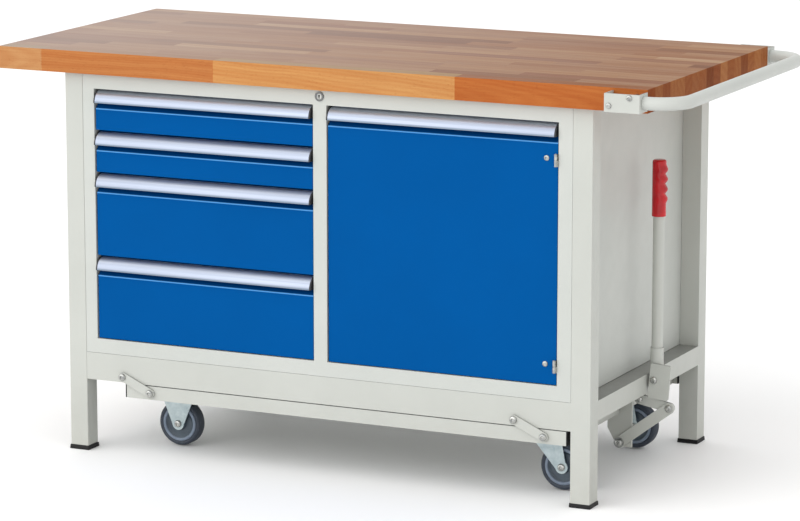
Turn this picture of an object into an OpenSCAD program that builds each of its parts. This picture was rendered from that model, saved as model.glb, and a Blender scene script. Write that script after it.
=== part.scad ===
// Mobile workbench: beech worktop on a welded steel frame, a cabinet with four
// drawers and a hinged door, a push handle round one end, and a retractable
// castor undercarriage that a hand lever swings down on parallel links.
// Millimetres, +Z up. The origin lies on the floor, midway along the overall
// length (worktop plus push handle) and midway across the depth.

/* [Worktop] */
// Worktop length
top_l = 1500; // [1300:10:1800]
// Worktop depth, front to back
top_w = 700; // [660:10:840]
// Worktop thickness
top_t = 48; // [40:1:58]
// Height of the worktop's surface above the floor
bench_h = 880; // [790:10:1060]

/* [Frame] */
// Worktop overhang beyond the left leg
overhang_left = 151; // [120:1:181]
// Worktop overhang beyond the right leg, where the lever swings
overhang_right = 125; // [104:1:150]
// Distance from the worktop's front edge back to the legs
leg_setback = 20; // [10:1:24]
// Outside width of the square leg tube
leg_s = 43; // [40:1:52]
// Wall of every steel tube
tube_wall = 2; // [1.5:0.5:3]
// Underside of the long rails above the floor
rail_z = 160; // [158:1:170]
// Height of the front and rear long rails
rail_h = 60; // [50:1:72]
// Depth of the front and rear long rails
rail_d = 30; // [25:1:36]
// Underside of the side rails above the floor
side_rail_z = 178; // [176:1:190]

/* [Cabinet] */
// Width of the cabinet front's left upright
margin_left = 27; // [24:1:34]
// Width of the cabinet front's right upright
margin_right = 31; // [26:1:37]
// Width of the upright between drawers and door
divider_w = 31; // [26:1:37]
// Height of the cabinet front's top strip, below the worktop
head_h = 33.5; // [28:0.5:40]
// Height of the cabinet front's bottom strip
sill_h = 32; // [26:1:38]
// Depth of the folded cabinet front
front_fold = 25; // [20:1:30]
// Sheet steel thickness of the cabinet
sheet = 2; // [1.5:0.5:2.5]
// Gap round every drawer front and the door
front_gap = 2.5; // [2:0.5:3.5]
// Depth of the folded drawer fronts and door
front_d = 20; // [17:1:24]
// Setback of the drawer fronts and door behind the cabinet front's face
front_set = 3; // [1:0.5:4]
// Height of the aluminium grip strips, also their radius
grip_h = 26; // [22:1:30]
// Height of the sloping finger recess below a grip strip
recess_h = 15; // [12:1:18]
// Length of the drawer boxes, front to back
drawer_l = 550; // [460:10:590]

/* [Undercarriage] */
// Height and depth of the castor rails
castor_rail = 30; // [26:1:34]
// Distance between the two pivots of a swinging link
link_l = 73; // [66:1:84]
// Slope of the links below horizontal when the castors are raised
link_deg = 24.5; // [21:0.5:28]
// Width of the link bars
link_w = 20; // [18:1:24]
// Thickness of the link bars
link_t = 5; // [4:0.5:6]
// Width of the box sections that the castors are bolted under
cross_w = 130; // [120:1:140]
// Radius of the pivot bolts
pivot_r = 4; // [3.5:0.5:5]

/* [Castors] */
// Wheel diameter
wheel_d = 100; // [84:1:102]
// Tread width
wheel_w = 30; // [25:1:34]
// Distance of the wheels from the bench's middle, front and back
castor_y = 200; // [170:5:230]
// Trail of the two swivelling castors
trail = 36; // [30:1:42]

/* [Lever] */
// Height of the lever's tip above the floor
lever_h = 679; // [570:1:740]
// Lever tube diameter
lever_d = 24; // [20:1:26]
// Width of the long drag link
drag_w = 24; // [22:1:27]

/* [Push handle] */
// Push handle tube diameter
handle_d = 27; // [23:1:32]
// Distance from the worktop's end to the handle tube's centre line
handle_reach = 76; // [70:1:90]
// Bend radius of the handle tube's centre line
handle_bend = 65; // [55:1:68]
// Depth of the handle brackets in front of the worktop's edge
bracket_d = 44; // [38:1:52]
// Length of the handle brackets along the worktop
bracket_l = 76; // [64:1:90]
// Height of the handle brackets
bracket_h = 38; // [33:1:40]

/* [Hidden] */
$fn = 64;
fine = 0.5;           // clearance between parts that only pass each other
run = 0.05;           // radial clearance of a running fit
eps = 1;              // overshoot of cutting tools

// Worktop and leg positions
x_left = -(top_l + handle_reach + handle_d / 2) / 2;
x_right = x_left + top_l;
y_edge = top_w / 2;
z_under = bench_h - top_t;
leg_x0 = x_left + overhang_left;
leg_x1 = x_right - overhang_right;
in_x0 = leg_x0 + leg_s;
in_x1 = leg_x1 - leg_s;
leg_y = y_edge - leg_setback;
foot_h = 9;

// Cabinet front: two equal openings side by side
cab_z0 = rail_z + rail_h;
joint = 0.5;
open_w = (in_x1 - in_x0 - 2 * joint - margin_left - margin_right - divider_w) / 2;
open_z0 = cab_z0 + sill_h;
open_z1 = z_under - head_h;
draw_x0 = in_x0 + joint + margin_left;
draw_x1 = draw_x0 + open_w;
door_x0 = draw_x1 + divider_w;
door_x1 = door_x0 + open_w;
div_x = draw_x1 + divider_w / 2;
cab_back = leg_y - 34;

// Face and back plane of the drawer fronts and door
front_y = -leg_y + front_set;
back_y = front_y + front_d;

// A front's landing behind its grip strip, and the strip's gap below the front's top
landing = 6;
grip_drop = 1;

// Drawers: heights in sixths of the opening, from the top
unit = (open_z1 - open_z0) / 6;
drawer_units = [1, 1, 2, 2];
function units_above(k) = k == 0 ? 0 : units_above(k - 1) + drawer_units[k - 1];
function drawer_z1(k) = open_z1 - units_above(k) * unit;
function drawer_z0(k) = drawer_z1(k) - drawer_units[k] * unit;
runner_t = 12;
runner_h = 34;
box_x0 = draw_x0 + runner_t + 2;
box_x1 = draw_x1 - runner_t - 2;
box_back = back_y + drawer_l;

// Castor frame at rest, tucked up under the long rails
crail_z1 = rail_z - 2;
crail_z0 = crail_z1 - castor_rail;
crail_x0 = in_x0 + 95;
crail_x1 = in_x1 - 7;
cap_t = 3;
low_z = crail_z1 - castor_rail / 2;
high_z = low_z + link_l * sin(link_deg);
link_dx = link_l * cos(link_deg);
low_x = [crail_x0 + 62, crail_x1 - 52];
high_x = [low_x[0] - link_dx, low_x[1] - link_dx];
cross_x0 = [crail_x0 + cap_t, crail_x1 - 13 - cross_w];

// Castors: fixed pair on the left, swivelling pair on the right
plate_t = 3;
fixed_x = cross_x0[0] + cross_w / 2;
swivel_x = cross_x0[1] + 48;
axle_z = wheel_d / 2 + 2;
axle_r = 6;
cheek_y = wheel_w / 2 + 2;
plate_z0 = crail_z0 - plate_t;
crown_z1 = plate_z0 - 7;
crown_z0 = crown_z1 - 5;

// Lever linkage, all in planes parallel to the front
pivot_a = [leg_x1 - 18, side_rail_z - 14];
pivot_b = pivot_a + [69, -13];
pivot_c = [cross_x0[1] + cross_w + 2, low_z - 77];
drag_v = pivot_c - pivot_b;
crank_v = pivot_b - pivot_a;
tube_x = leg_x1 + lever_d / 2 + 4;
clamp_z = side_rail_z + 31;
sleeve_wall = 2;
layer_plate = [-19, -14];
layer_crank = [-14.5, -8];
layer_drag = [-20, -15];
layer_hang = [-14, -9];
layer_lug = [-7.5, -2.5];
slot_r = pivot_r + 3.4;
head_r = 8;
head_t = 5;

// Push handle
handle_z = bench_h - top_t / 2;
handle_y = y_edge + bracket_d / 2 - 1;
handle_x = x_right + handle_reach;
plate_w = 3;
screw_r = 3;
bracket_x0 = x_right - bracket_l;
screw_at = [[bracket_x0 + 10, handle_z - 6], [bracket_x0 + 54, handle_z + 12]];

// Door hinges, in front of the door's right edge
hinge_x = door_x1 - front_gap - 2;
hinge_y = -leg_y - 4;
hinge_r = 3.5;
hinge_z = [open_z1 - 78, open_z0 + 41];
hinge_h = 26;
pin_r = 1.6;
leaf = 1.2;

// Lock in the head strip, above the divider
lock_z = open_z1 + head_h / 2 + 1;
lock_y0 = -leg_y - 2.5;
lock_y1 = -leg_y + front_fold + 1;
core_r = 6;

// ---- helpers ----

// Box between two corners
module block(a, b) {
  translate(a)
    cube(b - a);
}

// Closed-ended rectangular tube between two corners, hollow inside
module hollow(a, b, wall) {
  difference() {
    block(a, b);
    block(a + [wall, wall, wall], b - [wall, wall, wall]);
  }
}

// Flat shape drawn in X and Z, filling depth y0 to y1
module plate_xz(y0, y1) {
  rotate([90, 0, 0])
    translate([0, 0, -y1])
      linear_extrude(y1 - y0)
        children();
}

// Flat shape drawn in Y and Z, filling length x0 to x1
module profile_x(x0, x1) {
  rotate([90, 0, 90])
    translate([0, 0, x0])
      linear_extrude(x1 - x0)
        children();
}

// Cylinder along Y
module rod_y(at, y0, y1, r) {
  translate([at[0], y1, at[1]])
    rotate([90, 0, 0])
      cylinder(h = y1 - y0, r = r);
}

// Cylinder along Z
module rod_z(at, z0, z1, r) {
  translate([at[0], at[1], z0])
    cylinder(h = z1 - z0, r = r);
}

// Copy at the mirror image across the bench's middle plane
module both_sides() {
  children();
  mirror([0, 1, 0])
    children();
}

// Bar with rounded ends from point p along vector v
module bar_shape(p, v, w) {
  translate(p)
    rotate(atan2(v[1], v[0]))
      union() {
        translate([0, -w / 2])
          square([norm(v), w]);
        circle(d = w);
        translate([norm(v), 0])
          circle(d = w);
      }
}

// Rectangle with rounded corners
module round_rect(a, b, r) {
  union() {
    translate(a + [r, 0])
      square(b - a - [2 * r, 0]);
    translate(a + [0, r])
      square(b - a - [0, 2 * r]);
    for (x = [a[0] + r, b[0] - r])
      for (z = [a[1] + r, b[1] - r])
        translate([x, z])
          circle(r = r);
  }
}

// Domed bolt head with a socket that faces the front, its flat side at y
module bolt_head(at, y, r, t) {
  translate([at[0], y, at[1]])
    rotate([90, 0, 0])
      rotate_extrude()
        polygon([[0, 0], [r, 0], [r, t * 0.45], [r * 0.82, t * 0.85], [r * 0.55, t],
                 [r * 0.42, t], [r * 0.36, t * 0.55], [0, t * 0.55]]);
}

// Hexagon nut behind a plate, from y to y + t
module nut(at, y, r, t) {
  translate([at[0], y + t, at[1]])
    rotate([90, 0, 0])
      cylinder(h = t, r = r, $fn = 6);
}

// ---- worktop and frame ----

module worktop() {
  color([0.72, 0.48, 0.30])
    difference() {
      block([x_left, -y_edge, z_under], [x_right, y_edge, bench_h]);
      both_sides()
        for (s = screw_at)
          rod_y(s, -y_edge - eps, -y_edge + 36, screw_r);
    }
}

// Leg tube, closed at both ends
module leg(x0, y0) {
  hollow([x0, y0, foot_h], [x0 + leg_s, y0 + leg_s, z_under], tube_wall);
}

// Two legs joined by a side rail as thick as they are and a flat strap under the worktop
module side_frame(x0) {
  both_sides()
    leg(x0, -leg_y);
  hollow([x0, -leg_y + leg_s, side_rail_z],
         [x0 + leg_s, leg_y - leg_s, cab_z0], tube_wall);
  block([x0 + 8, -leg_y + leg_s, z_under - 4], [x0 + leg_s - 8, leg_y - leg_s, z_under]);
}

module side_frame_left() {
  color([0.80, 0.82, 0.79])
    side_frame(leg_x0);
}

// The right frame also carries the lug for the lever's pivot
module side_frame_right() {
  color([0.80, 0.82, 0.79])
    difference() {
      union() {
        side_frame(leg_x1 - leg_s);
        plate_xz(layer_lug[0], layer_lug[1]) {
          translate([pivot_a[0] - 12, pivot_a[1]])
            square([24, side_rail_z - pivot_a[1] + tube_wall / 2]);
          translate(pivot_a)
            circle(r = 12);
        }
      }
      rod_y(pivot_a, layer_lug[0] - eps, layer_lug[1] + eps, pivot_r);
    }
}

// Flared plastic foot under each leg
module foot_plugs() {
  flare = 2;
  color([0.06, 0.06, 0.06])
    for (x = [leg_x0, leg_x1 - leg_s])
      both_sides()
        profile_x(x - flare, x + leg_s + flare)
          polygon([[-leg_y - flare, 0],
                   [-leg_y + leg_s + flare, 0],
                   [-leg_y + leg_s + flare, 3],
                   [-leg_y + leg_s, foot_h],
                   [-leg_y, foot_h],
                   [-leg_y - flare, 3]]);
}

// Long rail between the legs, bored for the two link pivots
module long_rail() {
  difference() {
    hollow([in_x0, -leg_y, rail_z], [in_x1, -leg_y + rail_d, cab_z0], tube_wall);
    for (x = high_x)
      rod_y([x, high_z], -leg_y - eps, -leg_y + rail_d + eps, pivot_r);
  }
}

module front_rail() {
  color([0.80, 0.82, 0.79])
    long_rail();
}

module rear_rail() {
  color([0.80, 0.82, 0.79])
    mirror([0, 1, 0])
      long_rail();
}

// ---- cabinet ----

cab_x0 = in_x0 + joint;
cab_x1 = in_x1 - joint;
cab_z1 = z_under - joint;
cab_floor = cab_z0 + joint;
cab_y0 = -leg_y + front_fold;

module cabinet_sides() {
  color([0.78, 0.80, 0.77]) {
    block([cab_x0, cab_y0, cab_floor], [cab_x0 + sheet, cab_back, cab_z1]);
    block([cab_x1 - sheet, cab_y0, cab_floor], [cab_x1, cab_back, cab_z1]);
  }
}

module cabinet_top() {
  color([0.78, 0.80, 0.77])
    block([cab_x0 + sheet, cab_y0, cab_z1 - sheet], [cab_x1 - sheet, cab_back, cab_z1]);
}

module cabinet_bottom() {
  color([0.78, 0.80, 0.77])
    block([cab_x0 + sheet, cab_y0, cab_floor], [cab_x1 - sheet, cab_back, cab_floor + sheet]);
}

module cabinet_back() {
  color([0.78, 0.80, 0.77])
    block([cab_x0, cab_back, cab_floor], [cab_x1, cab_back + sheet, cab_z1]);
}

// Hollow wall between the drawers and the door compartment
module cabinet_divider() {
  color([0.78, 0.80, 0.77])
    hollow([draw_x1, cab_y0 + 15, cab_floor + sheet],
           [door_x0, cab_back, cab_z1 - sheet], 1.5);
}

// Folded front frame with the two openings and hollow bars behind its face
module cabinet_front_frame() {
  edge_x = [cab_x0, draw_x0, draw_x1, door_x0, door_x1, cab_x1];
  color([0.82, 0.84, 0.81])
    difference() {
      block([cab_x0, -leg_y, cab_floor], [cab_x1, cab_y0, cab_z1]);
      for (x = [draw_x0, door_x0])
        block([x, -leg_y - eps, open_z0], [x + open_w, cab_y0 + eps, open_z1]);
      for (k = [0, 2, 4])
        block([edge_x[k] + sheet, -leg_y + sheet, open_z0],
              [edge_x[k + 1] - sheet, cab_y0 + eps, open_z1]);
      block([cab_x0 + sheet, -leg_y + sheet, open_z1 + sheet],
            [cab_x1 - sheet, cab_y0 + eps, cab_z1 - sheet]);
      block([cab_x0 + sheet, -leg_y + sheet, cab_floor + sheet],
            [cab_x1 - sheet, cab_y0 + eps, open_z0 - sheet]);
      rod_y([div_x, lock_z], -leg_y - eps, cab_y0, core_r + 3);
    }
}

module lock_barrel() {
  color([0.72, 0.72, 0.70])
    difference() {
      union() {
        rod_y([div_x, lock_z], lock_y0, lock_y1, core_r + 3);
        rod_y([div_x, lock_z], lock_y0, -leg_y, core_r + 4);
      }
      rod_y([div_x, lock_z], lock_y0 - eps, lock_y1 + eps, core_r + run);
    }
}

// Turning core with the key slot in front and the locking cam behind
module lock_core() {
  color([0.60, 0.60, 0.58])
    difference() {
      union() {
        rod_y([div_x, lock_z], lock_y0 + 0.3, lock_y1 + 4, core_r);
        plate_xz(lock_y1 + fine, lock_y1 + 3)
          bar_shape([div_x, lock_z], [0, -11], 9);
      }
      block([div_x - 1, lock_y0 - eps, lock_z - 4.2], [div_x + 1, lock_y0 + 12, lock_z + 4.2]);
      rod_y([div_x, lock_z + 1.8], lock_y0 - eps, lock_y0 + 12, 2);
    }
}

// ---- drawers ----

// One C-shaped runner whose groove opens towards the drawer
module runner(x0, x1, groove_x, z) {
  difference() {
    block([x0, runner_y0, z - runner_h / 2], [x1, box_back, z + runner_h / 2]);
    block([groove_x - 9, runner_y0 - eps, z - 8], [groove_x + 9, box_back + eps, z + 8]);
  }
}

runner_y0 = max(cab_y0, back_y + fine);
function runner_z(k) = drawer_z0(k) + unit * 0.42;

// Eight runners; spacers carry the left ones out from the cabinet's side
module drawer_runners() {
  color([0.70, 0.72, 0.73])
    for (k = [0:3]) {
      runner(draw_x0, draw_x0 + runner_t, draw_x0 + runner_t, runner_z(k));
      runner(draw_x1 - runner_t, draw_x1, draw_x1 - runner_t, runner_z(k));
      for (y = [cab_y0 + 20, box_back - 50])
        block([cab_x0 + sheet, y, runner_z(k) - 12], [draw_x0 + 1, y + 30, runner_z(k) + 12]);
    }
}

// Open sheet-metal tray with a tongue on each side for the runner's groove
module drawer_box(k) {
  z0 = drawer_z0(k) + 12;
  z1 = drawer_z1(k) - grip_h - 6;
  y0 = back_y;
  color([0.78, 0.80, 0.79])
    union() {
      difference() {
        block([box_x0, y0, z0], [box_x1, box_back, z1]);
        block([box_x0 + 1.5, y0 + 1.5, z0 + 1.5], [box_x1 - 1.5, box_back - 1.5, z1 + eps]);
      }
      for (side = [[box_x0 - 8, box_x0 + 0.5], [box_x1 - 0.5, box_x1 + 8]])
        block([side[0], y0 + 12, runner_z(k) - 6], [side[1], box_back, runner_z(k) + 6]);
    }
}

// Outline of a front in Y and Z: flat face, sloping finger recess, grip landing
function front_outline(z0, z1, t) = [
  [front_y + t, z0 + t],
  [front_y + t, z1 - grip_h - recess_h + t * 0.4],
  [back_y - landing + t, z1 - grip_h - grip_drop + t * 0.4],
  [back_y - landing + t, z1 - t],
  [back_y, z1 - t],
  [back_y, z0 + t]
];

// Folded sheet front, open at the back
module front_panel(x0, x1, z0, z1) {
  wall = 1.5;
  difference() {
    profile_x(x0, x1)
      polygon(front_outline(z0, z1, 0));
    profile_x(x0 + wall, x1 - wall)
      polygon(front_outline(z0, z1, wall));
    block([x0 + wall, back_y - 1, z0 + wall], [x1 - wall, back_y + eps, z1 - wall]);
  }
}

// Quarter-round sector in Y and Z with its centre on the grip landing
module grip_sector(z1, r) {
  intersection() {
    translate([back_y - landing, z1 - grip_h])
      circle(r = r);
    translate([back_y - landing - grip_h, z1 - grip_h])
      square([grip_h, grip_h]);
  }
}

// Curved aluminium strip with a back flange, and a plastic cap at each end
module grip_strip(x0, x1, z1) {
  wall = 2;
  cap = 3;
  seam = 0.2;
  z = z1 - grip_drop;
  profile_x(x0 + cap + seam, x1 - cap - seam)
    union() {
      difference() {
        grip_sector(z, grip_h);
        grip_sector(z, grip_h - wall);
      }
      translate([back_y - landing - wall, z - grip_h])
        square([wall, grip_h]);
    }
  for (x = [x0, x1 - cap])
    profile_x(x, x + cap)
      grip_sector(z, grip_h);
}

front_x0 = draw_x0 + front_gap;
front_x1 = draw_x1 - front_gap;
function front_z0(k) = drawer_z0(k) + front_gap * 0.7;
function front_z1(k) = drawer_z1(k) - front_gap;

module drawer_front(k) {
  color([0.02, 0.33, 0.63])
    front_panel(front_x0, front_x1, front_z0(k), front_z1(k));
}

module drawer_grip(k) {
  color([0.80, 0.80, 0.84])
    grip_strip(front_x0 + 1, front_x1 - 1, front_z1(k));
}

// ---- door ----

leaf_x0 = door_x0 + front_gap;
leaf_x1 = door_x1 - front_gap;
leaf_z0 = open_z0 + front_gap * 0.7;
leaf_z1 = open_z1 - front_gap;

module door_panel() {
  color([0.02, 0.33, 0.63])
    difference() {
      front_panel(leaf_x0, leaf_x1, leaf_z0, leaf_z1);
      for (z = hinge_z)
        rod_y([leaf_x1 - 25, z + 3], front_y - eps, front_y + 5, 2.5);
    }
}

module door_grip() {
  color([0.80, 0.80, 0.84])
    grip_strip(leaf_x0 + 1, leaf_x1 - 1, leaf_z1);
}

// Moving leaves: upper knuckle halves, plates on the door's edge
module door_hinge_leaves() {
  color([0.75, 0.75, 0.75])
    for (z = hinge_z)
      difference() {
        union() {
          rod_z([hinge_x, hinge_y], z + fine / 2, z + hinge_h / 2, hinge_r);
          block([leaf_x1, hinge_y, z + fine / 2], [leaf_x1 + 1, -leg_y + 18, z + hinge_h / 2]);
        }
        rod_z([hinge_x, hinge_y], z - eps, z + hinge_h, pin_r + run);
      }
}

// Fixed leaves: lower knuckle halves with the hinge pin, plates on the frame
module hinge_frame_leaves() {
  color([0.75, 0.75, 0.75])
    for (z = hinge_z) {
      rod_z([hinge_x, hinge_y], z - hinge_h / 2, z - fine / 2, hinge_r);
      block([door_x1 - leaf - 0.4, hinge_y, z - hinge_h / 2], [door_x1, -leg_y + 18, z - fine / 2]);
      rod_z([hinge_x, hinge_y], z - fine, z + hinge_h / 2 + 1, pin_r);
    }
}

module door_screws() {
  color([0.80, 0.80, 0.80])
    for (z = hinge_z) {
      bolt_head([leaf_x1 - 25, z + 3], front_y, 6, 2.5);
      rod_y([leaf_x1 - 25, z + 3], front_y - 0.5, front_y + 12, 2.5);
    }
}

// ---- push handle ----

// One bent quarter of the handle tube, turned about its bend centre
module handle_corner() {
  rotate_extrude(angle = 90)
    translate([handle_bend, 0])
      circle(d = handle_d);
}

module push_handle() {
  bend_x = handle_x - handle_bend;
  bend_y = handle_y - handle_bend;
  color([0.82, 0.84, 0.82])
    union() {
      both_sides()
        translate([x_right, -handle_y, handle_z])
          rotate([0, 90, 0])
            cylinder(h = bend_x - x_right, d = handle_d);
      translate([bend_x, -bend_y, handle_z])
        rotate([0, 0, -90])
          handle_corner();
      translate([bend_x, bend_y, handle_z])
        handle_corner();
      rod_y([handle_x, handle_z], -bend_y, bend_y, handle_d / 2);
    }
}

// Bent sheet brackets, open towards the worktop's edge
module push_handle_brackets() {
  z0 = handle_z - bracket_h / 2;
  y0 = -y_edge - bracket_d;
  color([0.84, 0.86, 0.84])
    both_sides()
      difference() {
        block([bracket_x0, y0, z0], [x_right, -y_edge, z0 + bracket_h]);
        block([bracket_x0 + plate_w, y0 + plate_w, z0 - eps],
              [x_right - plate_w, -y_edge + eps, z0 + bracket_h + eps]);
        for (s = screw_at)
          rod_y(s, y0 - eps, -y_edge + eps, screw_r);
      }
}

module push_handle_screws() {
  y0 = -y_edge - bracket_d;
  color([0.75, 0.75, 0.73])
    both_sides()
      for (s = screw_at) {
        bolt_head(s, y0, 6, 3.5);
        rod_y(s, y0 - 0.5, -y_edge + 34, screw_r);
      }
}

// ---- undercarriage ----

// Two long castor rails joined by two wide box sections
module castor_frame() {
  y0 = -leg_y + fine;
  color([0.80, 0.82, 0.79])
    difference() {
      union() {
        both_sides()
          hollow([crail_x0 + cap_t, y0, crail_z0], [crail_x1 - cap_t, y0 + castor_rail, crail_z1], tube_wall);
        for (x = cross_x0)
          hollow([x, y0 + castor_rail - 0.5, crail_z0],
                 [x + cross_w, -y0 - castor_rail + 0.5, crail_z1], tube_wall);
      }
      both_sides()
        for (x = low_x)
          rod_y([x, low_z], y0 - eps, y0 + castor_rail + eps, pivot_r);
    }
}

// Plastic plugs that close the castor rails' ends
module castor_frame_caps() {
  y0 = -leg_y + fine;
  color([0.05, 0.05, 0.05])
    both_sides()
      for (x = [crail_x0, crail_x1 - cap_t])
        block([x, y0, crail_z0], [x + cap_t, y0 + castor_rail, crail_z1]);
}

// Plate that hangs from the right box section and takes the drag link
module hanging_plate() {
  x0 = cross_x0[1] + cross_w;
  z0 = pivot_c[1] - 10;
  color([0.80, 0.82, 0.80])
    difference() {
      plate_xz(layer_hang[0], layer_hang[1])
        polygon([[x0, crail_z1],
                 [x0, crail_z0],
                 [x0 - 27, crail_z0],
                 [x0 - 27, z0 + 40],
                 [x0 - 8, z0 + 6],
                 [x0 - 2, z0],
                 [x0 + 29, z0],
                 [x0 + 29, crail_z1]]);
      rod_y(pivot_c, layer_hang[0] - eps, layer_hang[1] + eps, pivot_r);
    }
}

// Link from a long rail's pivot to the castor rail's pivot
module swing_link(k) {
  y0 = -leg_y - fine - link_t;
  color([0.83, 0.84, 0.82])
    difference() {
      plate_xz(y0, y0 + link_t)
        bar_shape([high_x[k], high_z], [link_dx, low_z - high_z], link_w);
      rod_y([high_x[k], high_z], y0 - eps, y0 + link_t + eps, pivot_r + run);
      rod_y([low_x[k], low_z], y0 - eps, y0 + link_t + eps, pivot_r + run);
    }
}

// Domed bolt through a swing link into a rail of depth d
module link_bolt(at, d) {
  y0 = -leg_y - fine - link_t - 0.3;
  bolt_head(at, y0, head_r, head_t);
  rod_y(at, y0 - 0.5, -leg_y + d + 1, pivot_r);
}

module bench_pivot_bolts() {
  color([0.78, 0.78, 0.76]) {
    both_sides()
      for (x = high_x)
        link_bolt([x, high_z], rail_d);
    bolt_head(pivot_a, layer_crank[0] - 0.3, head_r, head_t);
    rod_y(pivot_a, layer_crank[0] - 0.8, layer_lug[1] + 7, pivot_r);
    nut(pivot_a, layer_lug[1], head_r, 6);
  }
}

module frame_pivot_bolts() {
  color([0.78, 0.78, 0.76]) {
    both_sides()
      for (x = low_x)
        link_bolt([x, low_z], castor_rail + fine);
    bolt_head(pivot_c, layer_drag[0] - 2.3, head_r, head_t);
    rod_y(pivot_c, layer_drag[0] - 2.4, layer_drag[0] - 0.3, drag_w / 2 - 1);
    rod_y(pivot_c, layer_drag[0] - 2.8, layer_hang[1] + 7, pivot_r);
    nut(pivot_c, layer_hang[1], head_r, 6);
  }
}

// ---- castors ----

// Top plate bolted under a box section
module castor_plate(x) {
  block([x - 45, -42, plate_z0], [x + 45, 42, crail_z0]);
}

// Cheek outline of a fork: from its top edge down to the axle eye
module cheek_shape(x0, x1, z1, axle_x) {
  difference() {
    union() {
      polygon([[x0, z1], [axle_x - 12, axle_z - 6], [axle_x + 12, axle_z - 6], [x1, z1]]);
      translate([axle_x, axle_z])
        circle(r = 14);
    }
    translate([axle_x, axle_z])
      circle(r = axle_r);
  }
}

// Two cheeks either side of a wheel whose middle plane is y = 0
module cheeks(x0, x1, z1, axle_x) {
  both_sides()
    plate_xz(-cheek_y - 3, -cheek_y)
      cheek_shape(x0, x1, z1, axle_x);
}

module castor_fixed_forks() {
  color([0.72, 0.77, 0.80])
    for (s = [-1, 1])
      translate([0, s * castor_y, 0]) {
        castor_plate(fixed_x);
        cheeks(fixed_x - 45, fixed_x + 45, plate_z0 + 1, fixed_x);
      }
}

// Top plates of the swivelling castors, each with its race and kingpin
module castor_swivel_plates() {
  color([0.72, 0.77, 0.80])
    for (s = [-1, 1])
      translate([0, s * castor_y, 0]) {
        castor_plate(swivel_x);
        rod_z([swivel_x, 0], crown_z1 + fine, plate_z0 + 0.5, 29);
        rod_z([swivel_x, 0], crown_z0 - 4, plate_z0, axle_r);
        rod_z([swivel_x, 0], crown_z0 - 5, crown_z0 - fine, 10);
      }
}

// Swivelling fork that trails to the right
module castor_fork(s) {
  color([0.72, 0.77, 0.80])
    translate([0, s * castor_y, 0])
      difference() {
        union() {
          rod_z([swivel_x, 0], crown_z0, crown_z1, 30);
          cheeks(swivel_x - 38, swivel_x + 34, crown_z1, swivel_x + trail);
        }
        rod_z([swivel_x, 0], crown_z0 - eps, crown_z1 + eps, axle_r + run);
      }
}

// Axle bolt across a fork, with a domed head and a nut
module axle(x, s) {
  translate([0, s * castor_y, 0]) {
    bolt_head([x, axle_z], -cheek_y - 3, 8, 5);
    rod_y([x, axle_z], -cheek_y - 3.5, cheek_y + 9, axle_r);
    nut([x, axle_z], cheek_y + 3, 9, 5);
  }
}

module fixed_castor_axles() {
  color([0.75, 0.76, 0.76])
    for (s = [-1, 1])
      axle(fixed_x, s);
}

module swivel_castor_axle(s) {
  color([0.75, 0.76, 0.76])
    axle(swivel_x + trail, s);
}

// Wheel: rounded tread, recessed disc and hub, one bonded piece
module wheel(x, s) {
  r = wheel_d / 2;
  h = wheel_w / 2;
  color([0.16, 0.17, 0.19])
    translate([x, s * castor_y, axle_z])
      rotate([90, 0, 0])
        rotate_extrude($fn = 96)
          polygon([[axle_r + run, -h - 1], [12, -h - 1], [14, -h + 5], [r * 0.62, -h + 5],
                   [r * 0.68, -h], [r - 11, -h], [r - 9, -h + 1.2], [r - 4, -h + 1.2],
                   [r - 1, -h + 4], [r, -h + 8], [r, h - 8], [r - 1, h - 4],
                   [r - 4, h - 1.2], [r - 9, h - 1.2], [r - 11, h], [r * 0.68, h],
                   [r * 0.62, h - 5], [14, h - 5], [12, h + 1], [axle_r + run, h + 1]]);
}

// ---- lever ----

// Welded bracket: face plate, crank arm behind it and the sleeve for the tube
module lever_bracket() {
  sleeve_r = lever_d / 2 + sleeve_wall;
  sleeve_y = layer_plate[1] + sleeve_r - 0.5;
  color([0.80, 0.82, 0.80])
    difference() {
      union() {
        plate_xz(layer_plate[0], layer_plate[1])
          translate([tube_x, clamp_z])
            rotate(-5)
              round_rect([-10, -40], [36, 36], 5);
        plate_xz(layer_crank[0], layer_crank[1])
          bar_shape(pivot_a, crank_v, link_w + 1);
        rod_z([tube_x, sleeve_y], clamp_z - 19, clamp_z + 68, sleeve_r);
      }
      rod_z([tube_x, sleeve_y], clamp_z - 19 - eps, clamp_z + 68 + eps, lever_d / 2);
      rod_y(pivot_a, layer_crank[0] - eps, layer_crank[1] + eps, pivot_r + run);
      rod_y(pivot_b, layer_crank[0] - eps, layer_crank[1] + eps, pivot_r);
      rod_y([tube_x, clamp_z], layer_plate[0] - eps, sleeve_y + sleeve_r + eps, pivot_r);
    }
}

lever_y = layer_plate[1] + lever_d / 2 + sleeve_wall - 0.5;

module lever_tube() {
  color([0.84, 0.85, 0.83])
    difference() {
      rod_z([tube_x, lever_y], clamp_z - 17, lever_h - 8, lever_d / 2);
      rod_z([tube_x, lever_y], clamp_z - 18, lever_h - 10, lever_d / 2 - tube_wall);
      rod_y([tube_x, clamp_z], lever_y - lever_d, lever_y + lever_d, pivot_r);
    }
}

// Plastic grip with a rounded top and finger swells on its outer side
module lever_grip() {
  r = lever_d / 2 + 3;
  color([0.72, 0.05, 0.10])
    difference() {
      union() {
        rod_z([tube_x, lever_y], lever_h - 120, lever_h - 4, r);
        rod_z([tube_x, lever_y], lever_h - 4, lever_h, r - 4);
        translate([tube_x, lever_y, lever_h - 4])
          rotate_extrude()
            translate([r - 4, 0])
              circle(r = 4);
        for (k = [0:3])
          translate([tube_x + 4.5, lever_y, lever_h - 20 - 18 * k])
            sphere(r = r - 0.7);
      }
      rod_z([tube_x, lever_y], lever_h - 120 - eps, lever_h - 8, lever_d / 2);
    }
}

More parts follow.
